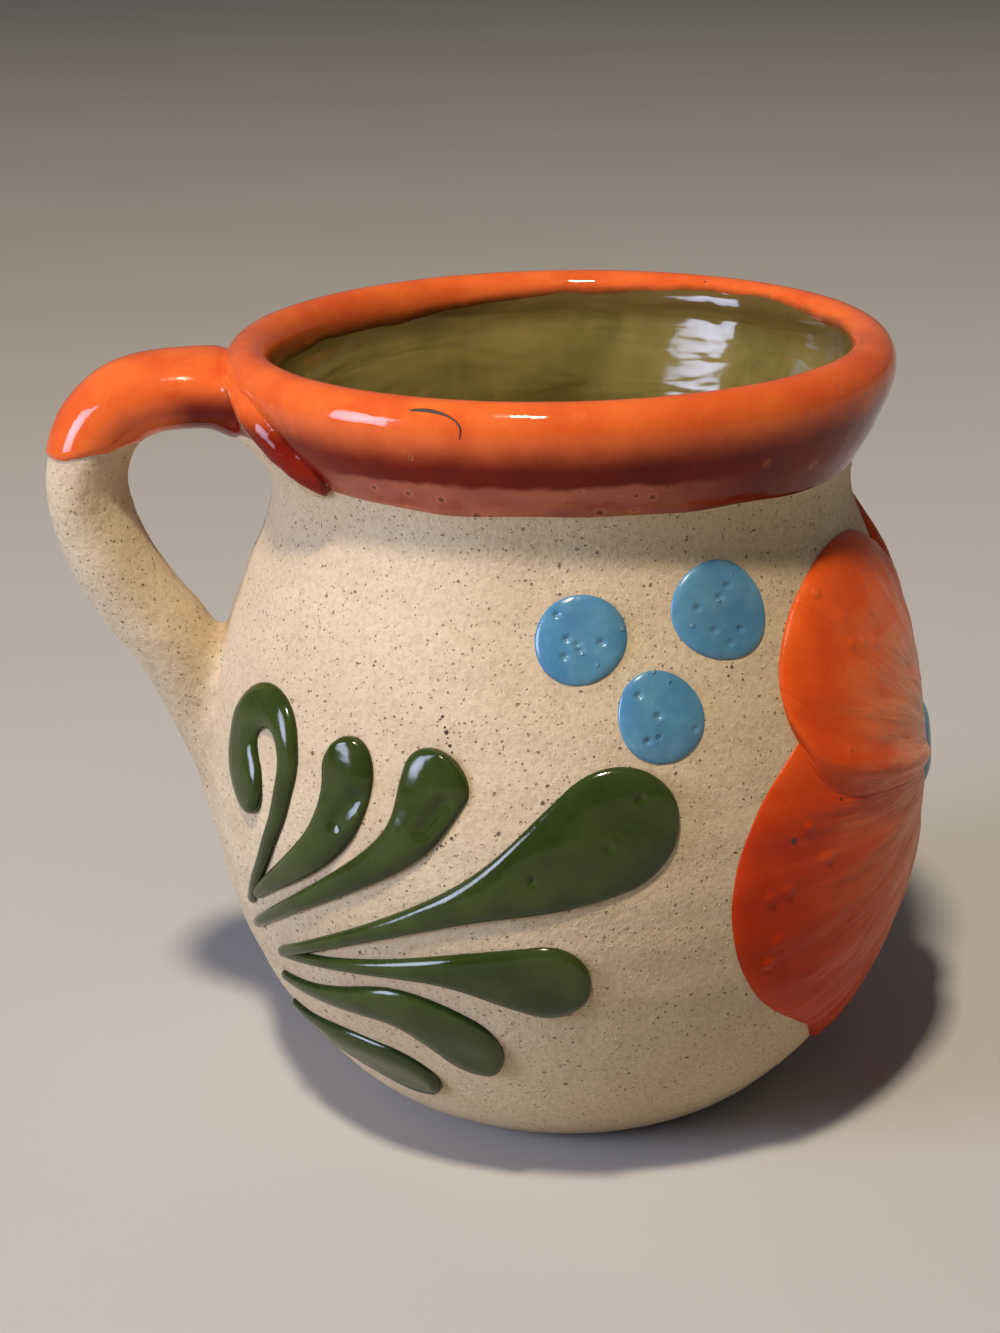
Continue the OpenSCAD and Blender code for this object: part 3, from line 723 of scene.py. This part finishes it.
# Each dot: turn, height and radius, how its outline leans, and the burst bubbles in it
DOTS = {
    "outer": (90, 71, 5.1, 0.4, (
        (87.7, 71.1), (89.4, 70.5), (87.3, 69.3), (89.8, 69.9), (93.4, 70.6), (86.1, 73.6))),
    "upper": (115, 72.5, 5.8, 2.2, (
        (116.7, 74.9), (114.8, 73.9), (112.7, 70.5), (117.7, 70.2), (110.3, 73.1), (115.3, 69.0))),
    "lower": (102, 62.5, 5.1, 4.0, ((101.3, 62.7), (107.0, 60.9), (98.6, 65.0), (99.4, 60.2)))}


def dab(turn, run, radius, lobes, phase, steps):
    """Two edges of a round dab about a place, in (turn in radians, run)."""
    a = np.linspace(-math.pi / 2, math.pi / 2, steps)
    around = float(np.interp(run, wall_run, wall_line[:, 0]))
    edges = []
    for flip in (-1, 1):
        turned = np.arctan2(np.sin(a), flip * np.cos(a))
        lobed = np.sin(2 * turned + phase) + 0.5 * np.sin(3 * turned + 2 * phase)
        reach = radius * (1 + lobes * lobed)
        edges.append(np.stack([turn + reach * np.cos(turned) / around, run + reach * np.sin(turned)], 1))
    edges[0][[0, -1]] = edges[1][[0, -1]] = (edges[0][[0, -1]] + edges[1][[0, -1]]) / 2
    return edges[0], edges[1], np.sqrt(np.maximum(0, 1 - np.abs(np.sin(a)) ** 3))


DOT_H = 0.8
for side, sign in SIDES.items():
    for k, (name, (turn, z, radius, lean, bubbles)) in enumerate(DOTS.items()):
        middle = math.pi + sign * math.radians(turn)
        low, high, full = dab(middle, float(run_out(z)), radius, 0.035, lean, 101)
        coat(f"{side}_{name}_dot.dab", low, high, full, 0.14, BLUE, DOT_H, around=101,
             grain=(0.10, 4.0, 2.0), seed=9.0 + k + 7 * sign, pits=spots(bubbles, sign, 0.75), pit_depth=0.4,
             pit_size=0.62)

# Flower
FLOWER_W, FLOWER_RISE, FLOWER_Z, CENTRE_R, CENTRE_H = 55.0, 37.5, 42.0, 6.5, 2.0
# Each petal: angle and reach where it starts, angle and reach of its farthest point, thickness and roll of
# its end
PETALS = {"left": (153.5, 0.89, 197, 1.0, 0.8, 0.5), "bottom": (223, 0.93, 260, 1.0, 0.9, 0.5),
          "right": (297, 0.85, 334, 1.0, 0.85, 0.6), "upper_right": (371, 0.85, 413, 1.03, 0.9, 0.5),
          "upper_left": (457, 0.70, 491, 1.058, 1.1, 0.75)}
# Blisters in the paint, as (turn, height), with how high and wide they are
BLISTER_H, BLISTER_SIZE = 0.45, 1.1
BLISTERS = {"left": ((124.0, 47.3), (127.6, 42.8), (120.0, 40.5), (117.1, 40.1), (119.1, 34.1),
                     (117.8, 31.3)),
            "upper_left": ((149.4, 70.2), (139.4, 68.1), (139.6, 65.0), (143.2, 64.6), (146.9, 63.7))}
# The paint of neighbours folds over each other along these lines, which sag at their middle
LAP, LAP_SAG, LOBE_POWER = 0.035, -7.0, 2.3
starts = [(v[0], v[1]) for v in PETALS.values()]
for k, (name, (start, start_reach, peak, reach, thickness, curl)) in enumerate(PETALS.items()):
    end, end_reach = starts[(k + 1) % 5]
    end += 360 if k == 4 else 0
    x = np.sin(np.linspace(-math.pi / 2, math.pi / 2, 161)) * (1 + LAP)
    a = np.radians(peak + x * np.where(x < 0, peak - start, end - peak))
    far = reach + (np.where(x < 0, start_reach, end_reach) - reach) * np.minimum(np.abs(x), 1) ** LOBE_POWER
    tip = np.stack([FLOWER_W * far * np.cos(a), FLOWER_RISE * far * np.sin(a)], 1)
    root = (CENTRE_R - 0.6) * np.stack([np.cos(a), np.sin(a)], 1)
    low, high = (placed(flat / (DEG_MM, 1) + (180, FLOWER_Z), 1) for flat in (root, tip))
    lies = np.abs(np.cos(a))
    bow = np.stack([np.zeros(len(x)), LAP_SAG * lies * np.abs(x) ** 3], 1)
    roll = 1 + np.where(x > 0, curl, 0.15) * np.exp(-((np.abs(x) - 0.9) / 0.09) ** 2)
    full = np.sqrt(np.maximum(0, 1 - (np.abs(x) / (1 + LAP)) ** 28)) * roll
    blisters = spots(BLISTERS[name], 1, 0.7) if name in BLISTERS else ()
    coat(f"{name}_petal.dab", low, high, full, 0.12, RED, thickness, around=201, shoulder=6.0,
         grain=(0.26, 11.0, 1.0), seed=21.0 + 5 * k, bow=bow, lean=0.42, pits=blisters,
         pit_depth=-BLISTER_H, pit_size=BLISTER_SIZE)

low, high, full = dab(TURN, float(run_out(FLOWER_Z)), CENTRE_R, 0.02, 0.4, 61)
coat("flower_centre.dab", low, high, full, 0.05, BLUE, CENTRE_H, around=49, shoulder=2.4,
     grain=(0.1, 3.0, 1.6), seed=60.0)

# Glaze on the lip and lining
LIP_GLAZE_H, LINING_H = 0.45, 0.3
turns = np.linspace(0, TURN, 361)


def wander(turn, sizes, seed):
    """A closed wavy line round the pot, from a few waves of given heights."""
    return sum(size * np.sin(count * turn + seed * (k + 1.7)) for k, (count, size) in enumerate(sizes))


# The dip line's height, and how far it rises beside the handle, by degrees from it
DIP_Z, DIP_RISE = 83.8, ((20, 25, 29.5, 33, 37, 42), (4.0, 3.7, 3.0, 1.8, 0.8, 0.0))
dip_z = DIP_Z + np.interp(np.degrees(np.abs(turns - math.pi)), *DIP_RISE) \
    + wander(turns, ((1, 0.6), (2, 0.35), (5, 0.22), (9, 0.14), (17, 0.08)), 2.2)
# Inside, the glaze ends this far past the crest, tilted, and the lining runs a little under it
INNER_RUN, INNER_TILT, LINING_LAP = 5.0, (1.8, 0.5), 1.5
crest = wall_run[out_to + len(lip) // 2 - 1]
inner_edge = crest + INNER_RUN - INNER_TILT[0] * np.cos(turns) - INNER_TILT[1] * np.sin(turns) \
    + wander(turns, ((3, 0.25), (7, 0.15), (13, 0.1), (23, 0.08), (41, 0.05)), 4.4)
low = np.stack([turns, run_out(dip_z)], 1)
high = np.stack([turns, inner_edge], 1)
coat("lip_glaze.dip", low, high, 1.0, 0.0, ORANGE, LIP_GLAZE_H, around=121, shoulder=4.0,
     grain=(0.05, 60.0, 4.0), seed=80.0, sink=0.3)
low = np.stack([turns, inner_edge - LINING_LAP], 1)
high = np.stack([turns, np.full(len(turns), float(wall_run[-1]))], 1)
coat("lining_glaze.coat", low[::2], high[::2], 1.0, 0.0, OLIVE, LINING_H, around=161,
     shoulder=40.0, grain=(0.36, 7.0, 13.0), seed=90.0, sink=0.3)

# A hairline crack in the rim's glaze: turn in degrees, run and half width along it. It is full where its half
# width reaches CRACK_FULL
CRACK = np.array([(62.6, 130.7, 0.0), (64.2, 130.9, 0.29), (66.8, 130.9, 0.34), (70.0, 130.4, 0.16),
                  (71.8, 129.4, 0.24), (71.5, 127.9, 0.0)])
CRACK_H, CRACK_FULL = 0.56, 0.08
crack = spline(CRACK, 10)
flat = crack[:, :2] * (DEG_MM, 1)
aside = square_to(np.gradient(flat, axis=0)) * crack[:, 2:]
low, high = (np.stack([math.pi + np.radians(edge[:, 0] / DEG_MM), edge[:, 1]], 1)
             for edge in (flat - aside, flat + aside))
full = np.minimum(1, crack[:, 2] / CRACK_FULL)
coat("lip_glaze.crack", low, high, full, 0.0, DARK, CRACK_H, around=13, shoulder=2.0,
     extra=True)


def spots_tree():
    """Sets a small round spot, half sunk, at each point of a line, as large as the point's size."""
    t, ins, outs = group("sunk_spots", [("Geometry", "G"), ("Finish", "M")], [("Geometry", "G")])
    points = t.geo("MeshToPoints", {"Mesh": ins["Geometry"]})
    ball = t.geo("MeshIcoSphere", {"Radius": 1.0, "Subdivisions": 2})
    size = t.geo("InputNamedAttribute", {"Name": "size"}, data_type="FLOAT")
    balls = t.geo("InstanceOnPoints", {
        "Points": points, "Instance": ball, "Scale": t.joined(size, size, size)})
    t.put(outs["Geometry"], dressed(t, balls, ins["Finish"]))
    return t.tree


SPOTS = spots_tree()
# Dark pits, as turn in degrees, height and radius: a scratch above the short leaf, one below it, and a burst
# bubble
for name, slot, lift, marks in (
        ("clay_body.scratch", "clay", -0.02, (
            (67.7, 63.5, 0.12), (68.1, 62.6, 0.18), (68.6, 61.5, 0.14), (68.9, 61.0, 0.26),
            (69.2, 60.4, 0.12), (69.6, 59.6, 0.2), (70.0, 58.9, 0.14), (68.3, 47.9, 0.12),
            (68.9, 48.4, 0.17), (69.6, 48.8, 0.12), (70.5, 49.4, 0.19), (71.1, 49.8, 0.12))),
        ("left_petal.pinhole", "red_slip", 0.5, ((121.2, 46.3, 0.55),))):
    turn, z, radius = np.array(marks).T
    places = on_wall(math.pi + np.radians(turn), run_out(z), lift) * MM
    settle(realise(line_piece(name, places, size=radius * MM), SPOTS, Finish=DARK), extra=True)

# Handle: a pulled strap, worked as a field of distances so that its joints flow into the pot.
# Middle line as distance from the axis and height, half thickness in its plane and half width across it
HANDLE = np.array([
    (35.5, 91.0, 4.7, 9.5), (39.3, 91.4, 4.6, 7.8), (43.2, 91.7, 4.55, 6.8), (48.2, 91.5, 4.55, 6.6),
    (51.8, 90.7, 4.7, 6.6), (54.4, 89.1, 4.9, 6.5), (57.0, 86.0, 5.0, 6.5), (58.5, 81.2, 5.0, 6.5),
    (58.2, 76.1, 5.1, 6.5), (56.2, 70.1, 5.25, 6.5), (53.1, 64.7, 5.3, 6.5), (49.5, 59.5, 5.4, 6.5),
    (46.9, 54.5, 5.4, 6.3), (45.8, 50.0, 4.9, 5.8), (45.3, 45.0, 3.4, 4.8), (45.1, 40.5, 1.8, 3.4),
    (45.0, 36.5, 0.7, 1.8)])
# Web of clay thumbed out under the lip beside the handle: turn from the handle, height and thickness
WEB = np.array([(13, 94.2, -0.6), (18, 93.6, 0.5), (23, 92.7, 1.1), (27, 91.6, 1.35), (31, 90.2, 1.3),
                (34, 88.6, 1.0), (36.5, 87.1, 0.35), (39.5, 85.8, -1.2)])
strap = spline(HANDLE)
web_turn, web_r = np.radians(WEB[:, 0]), radius_out(WEB[:, 1])
web = spline(np.column_stack([-web_r * np.cos(web_turn), web_r * np.sin(web_turn), WEB[:, 1:]]), 2)
pot_side = np.concatenate([outside[::3], lip[:14]])


def segment_distance(u, v, line):
    """For points in a plane: distance to a line of segments, side of it and place along it."""
    best = np.full(u.shape, 1e9)
    side = np.ones(u.shape)
    place = np.zeros(u.shape)
    for k in range(len(line) - 1):
        (au, av), (bu, bv) = line[k], line[k + 1]
        du, dv = bu - au, bv - av
        share = np.clip(((u - au) * du + (v - av) * dv) / (du * du + dv * dv), 0, 1)
        gap = np.hypot(u - au - share * du, v - av - share * dv)
        closer = gap < best
        best = np.where(closer, gap, best)
        side = np.where(closer, np.sign(du * (v - av) - dv * (u - au)), side)
        place = np.where(closer, k + share, place)
    return best, side, place


def strap_field(p, gap=None, place=None):
    """How far points are outside the strap, with its thumb marks pressed in."""
    y, index = p[:, 1], np.arange(len(strap))
    if gap is None:
        gap, _, place = segment_distance(-p[:, 0], p[:, 2], strap[:, :2])
    thick, wide = np.interp(place, index, strap[:, 2]), np.interp(place, index, strap[:, 3])
    q = np.sqrt((gap / thick) ** 2 + (y / wide) ** 2) + 1e-6
    slope = np.sqrt((gap / thick**2) ** 2 + (y / wide**2) ** 2) + 1e-6
    dent = sum(deep * np.exp(-((p - at) ** 2).sum(1) / size**2) for *at, size, deep in DENTS)
    return (q - 1) * q / slope + dent


def web_field(p):
    """How far points are outside the web, which lies on both sides of the handle."""
    p = np.stack([p[:, 0], np.abs(p[:, 1]), p[:, 2]], 1)
    best = np.full(len(p), 1e9)
    for a, b in zip(web, web[1:]):
        way = b[:3] - a[:3]
        share = np.clip((p - a[:3]) @ way / (way @ way), 0, 1)
        gap = np.linalg.norm(p - a[:3] - share[:, None] * way, axis=1)
        best = np.minimum(best, gap - a[3] - share * (b[3] - a[3]))
    return best


def pot_field(p):
    """How far points are outside the pot."""
    r = np.hypot(p[:, 0], p[:, 1])
    turn = np.arctan2(p[:, 1], p[:, 0])
    gap, side, _ = segment_distance(r - swing(turn, p[:, 2]), p[:, 2], pot_side)
    return -gap * side


def soft_min(a, b, k):
    """The smaller of two distances, with the corner between them filled over k."""
    h = np.clip(0.5 + 0.5 * (b - a) / k, 0, 1)
    return b + (a - b) * h - k * h * (1 - h)


# How far the joint with the pot is filled, and how deep it is drawn round, by height
FILLET = ((30, 50, 58, 68, 75, 80, 84, 86.5, 88.5, 90.5), (3.0, 3.2, 2.4, 2.4, 4.5, 6.5, 7.0, 6.5, 3.5, 1.2))
GROOVE = ((88, 90, 100), (0.0, 0.5, 0.55))
# How softly the web runs into the strap and the pot, how deep the joint reaches into the wall, and how far
# its whole surface is drawn in
STRAP_BLEND, POT_BLEND, ROOT_DEPTH, DRAWN_IN = 6.0, 1.2, 1.6, 0.06
# Thumb marks in the soft clay: place, size and depth
DENTS = ((-55.6, -5.6, 79.0, 3.4, 0.5), (-57.5, -6.0, 74.5, 2.6, 0.3), (-52.0, -5.5, 66.0, 4.0, 0.25),
         (-60.5, 5.2, 77.0, 4.0, 0.4))


def joined_field(p, far, grow=0.0, sunk=0.0):
    """Handle and web joined to the pot, whose own surface is sunk by a little, and the part of it to keep."""
    strap_d, pot_d, web_d = far
    k = np.interp(p[:, 2], *FILLET) + grow
    groove = np.interp(p[:, 2], *GROOVE) * np.exp(-((strap_d - pot_d) / 0.9) ** 2) * np.clip(web_d / 4, 0, 1)
    arm = soft_min(strap_d, web_d, STRAP_BLEND)
    body = soft_min(soft_min(arm, pot_d + sunk, k) + groove, web_d, POT_BLEND)
    return body + DRAWN_IN, np.maximum(np.minimum(strap_d - k - 2.0, web_d - 3.0), -pot_d - ROOT_DEPTH)


def handle_field(p, far):
    body, keep = joined_field(p, far)
    return np.maximum(body, keep)


# Height of the dip line by place towards the handle: level on the handle, high above the web
DIP_LINE = ((-64, -60, -57, -54, -50, -44, -40, -37, -35, -33, -31, -29, -26),
            (84.2, 84.4, 85.0, 85.8, 85.9, 86.0, 86.6, 87.2, 87.4, 86.8, 85.5, 84.5, 84.0))
# The glaze of the handle: height over the clay, depth in it, and how round its edge is
GLAZE_H, GLAZE_SINK, GLAZE_EDGE = 0.42, 0.5, 0.9


def glaze_field(p, far):
    """Skin of glaze on the handle and the web, down to the dip line."""
    body, keep = joined_field(p, far, sunk=0.3)
    level = np.interp(p[:, 0], *DIP_LINE) + 0.35 * np.sin(p[:, 1] * 0.55 + 0.8) \
        + 0.2 * np.sin(p[:, 1] * 1.3 + p[:, 0] * 0.7)
    cut = -soft_min(-(body - GLAZE_H), p[:, 2] - level, GLAZE_EDGE)
    return np.maximum(np.maximum(cut, -(body + GLAZE_SINK)), keep)


def luting_field(low, high):
    """Smear of slip over the joint between two heights, ragged, and thin at its ends."""
    def field(p, far):
        ragged = 0.05 * np.sin(p[:, 1] * 1.9 + p[:, 2]) + 0.04 * np.sin(p[:, 1] * 3.7 - p[:, 2] * 2.3)
        fade = np.clip((low + 4 - p[:, 2]) / 4, 0, 1) ** 2 + np.clip((p[:, 2] - high + 4) / 4, 0, 1) ** 2
        fade = fade + 1.6 * np.clip((far[0] - 2.5) / 3.5, 0, 1) ** 2
        body, _ = joined_field(p, far, 0.6)
        keep = np.maximum(np.maximum(far[0] - 6.0, -far[1] - 1.2), np.maximum(low - p[:, 2], p[:, 2] - high))
        return np.maximum(body + ragged + 0.5 * fade, keep)
    return field


STEP = 0.5
GRID_LOW, GRID_HIGH = np.array([-67.0, -27.0, 28.0]), np.array([-22.0, 27.0, 99.5])
counts = np.ceil((GRID_HIGH - GRID_LOW) / STEP).astype(int) + 1
axes = [GRID_LOW[k] + STEP * np.arange(counts[k]) for k in range(3)]
grid_points = np.stack(np.meshgrid(*axes, indexing="ij"), -1).reshape(-1, 3)
side_gap, _, side_place = segment_distance(*np.meshgrid(-axes[0], axes[2], indexing="ij"), strap[:, :2])
over_y = lambda a: np.repeat(a[:, None, :], counts[1], 1).ravel()
grid_strap = strap_field(grid_points, over_y(side_gap), over_y(side_place))
grid_far = grid_strap, pot_field(grid_points), web_field(grid_points)


def skin(field):
    """Closed surface where a field is zero: one point per cut cell, pulled onto the field's zero."""
    f = field(grid_points, grid_far).reshape(counts)
    solid = f < 0
    cells = counts - 1
    total, hits = np.zeros((*cells, 3)), np.zeros(cells)
    corner = lambda a, o: a[o[0]:o[0] + cells[0], o[1]:o[1] + cells[1], o[2]:o[2] + cells[2]]
    for axis in range(3):
        for sides in ((0, 0), (0, 1), (1, 0), (1, 1)):
            start = np.zeros(3, int)
            start[(axis + 1) % 3], start[(axis + 2) % 3] = sides
            end = start.copy()
            end[axis] = 1
            fa, fb = corner(f, start), corner(f, end)
            cut = corner(solid, start) != corner(solid, end)
            share = np.where(cut, fa / np.where(cut, fa - fb, 1), 0)
            for k in range(3):
                total[..., k] += cut * (start[k] + (share if k == axis else 0))
            hits += cut
    used = hits > 0
    number = np.full(cells, -1)
    number[used] = np.arange(used.sum())
    points = GRID_LOW + STEP * (np.argwhere(used) + total[used] / hits[used][:, None])
    faces = []
    for axis in range(3):
        b, c = (axis + 1) % 3, (axis + 2) % 3
        lower, upper = [slice(None)] * 3, [slice(None)] * 3
        lower[axis], upper[axis] = slice(0, -1), slice(1, None)
        at = np.argwhere(solid[tuple(lower)] != solid[tuple(upper)])
        at = at[(at[:, b] > 0) & (at[:, c] > 0) & (at[:, b] < cells[b]) & (at[:, c] < cells[c])]
        quad = []
        for db, dc in ((-1, -1), (0, -1), (0, 0), (-1, 0)):
            q = at.copy()
            q[:, b] += db
            q[:, c] += dc
            quad.append(number[q[:, 0], q[:, 1], q[:, 2]])
        faces.append(np.stack(quad, 1))
    at_points = lambda p: field(p, (strap_field(p), pot_field(p), web_field(p)))
    for _ in range(2):
        value, step = at_points(points), 0.02
        slope = np.stack([(at_points(points + step * np.eye(3)[k]) - value) / step for k in range(3)], 1)
        move = (value / np.maximum((slope**2).sum(1), 0.25))[:, None] * slope
        points = points - np.clip(move, -0.25, 0.25)
    return points, np.concatenate(faces)


def field_piece(name, field, finish):
    points, faces = skin(field)
    mesh = bpy.data.meshes.new(name)
    mesh.from_pydata((points * MM).tolist(), [], faces.tolist())
    mesh.materials.append(finish)
    face_out(mesh)
    settle(link(name, mesh))


field_piece("handle.strap", handle_field, CLAY)
field_piece("handle_glaze.dip", glaze_field, ORANGE)
field_piece("upper_luting.smear", luting_field(73.0, 85.0), SLIP)
field_piece("lower_luting.smear", luting_field(31.0, 68.0), SLIP)
bpy.data.objects.remove(outline_guide)

# Floor, lights and camera
f = Finish("floor")
f.set(Base_Color=f.mix(f.noise(9.0, 3.0), (0.46, 0.445, 0.425), (0.50, 0.485, 0.465)),
      Roughness=f.band(f.noise(30.0), 0.3, 0.7, 0.5, 0.65), Specular_IOR_Level=0.0)
FLOOR_HALF = 3.0
floor_mesh = bpy.data.meshes.new("floor")
floor_mesh.from_pydata([(x * FLOOR_HALF, y * FLOOR_HALF, 0) for x, y in ((-1, -1), (1, -1), (1, 1), (-1, 1))],
                       [], [(0, 1, 2, 3)])
floor_mesh.materials.append(f.made)
link("floor", floor_mesh)


def lamp(name, place, aim, size, power, colour, tall=None, spread=180):
    data = bpy.data.lights.new(name, "AREA")
    data.energy, data.color = power, colour
    data.shape, data.size, data.size_y = "RECTANGLE", size, tall or size
    data.spread = math.radians(spread)
    made = bpy.data.objects.new(name, data)
    bpy.context.scene.collection.objects.link(made)
    made.location = place
    made.rotation_euler = (Vector(place) - Vector(aim)).to_track_quat("Z", "Y").to_euler()


lamp("warm_overhead", (-0.23, -0.60, 1.60), (0, 0, 0.05), 0.14, 26.0, (1.0, 0.86, 0.68))
lamp("cool_side", (-0.80, -0.27, 0.31), (0, 0, 0.06), 0.36, 0.92, (0.66, 0.73, 1.0), 0.42, 60)
world = bpy.data.worlds.new("room")
world.use_nodes = True
soft = world.node_tree.nodes["Background"].inputs
soft["Color"].default_value, soft["Strength"].default_value = (0.72, 0.76, 0.82, 1), 0.14
bpy.context.scene.world = world
bpy.context.scene.view_settings.view_transform = "Standard"

# The camera's place, its turns in degrees and its lens, fitted to the photo's outline of the mug
CAMERA_PLACE, CAMERA_TURNS = (-0.014484, -0.276363, 0.156808), (69.5885, 1.3480, -1.8313)
LENS, SENSOR = 62.115, 36.0
camera = bpy.data.objects.new("camera", bpy.data.cameras.new("camera"))
bpy.context.scene.collection.objects.link(camera)
camera.location = CAMERA_PLACE
camera.rotation_euler = [math.radians(turn) for turn in CAMERA_TURNS]
camera.data.sensor_width, camera.data.lens = SENSOR, LENS
camera.data.clip_start, camera.data.clip_end = 0.01, 20.0
bpy.context.scene.camera = camera
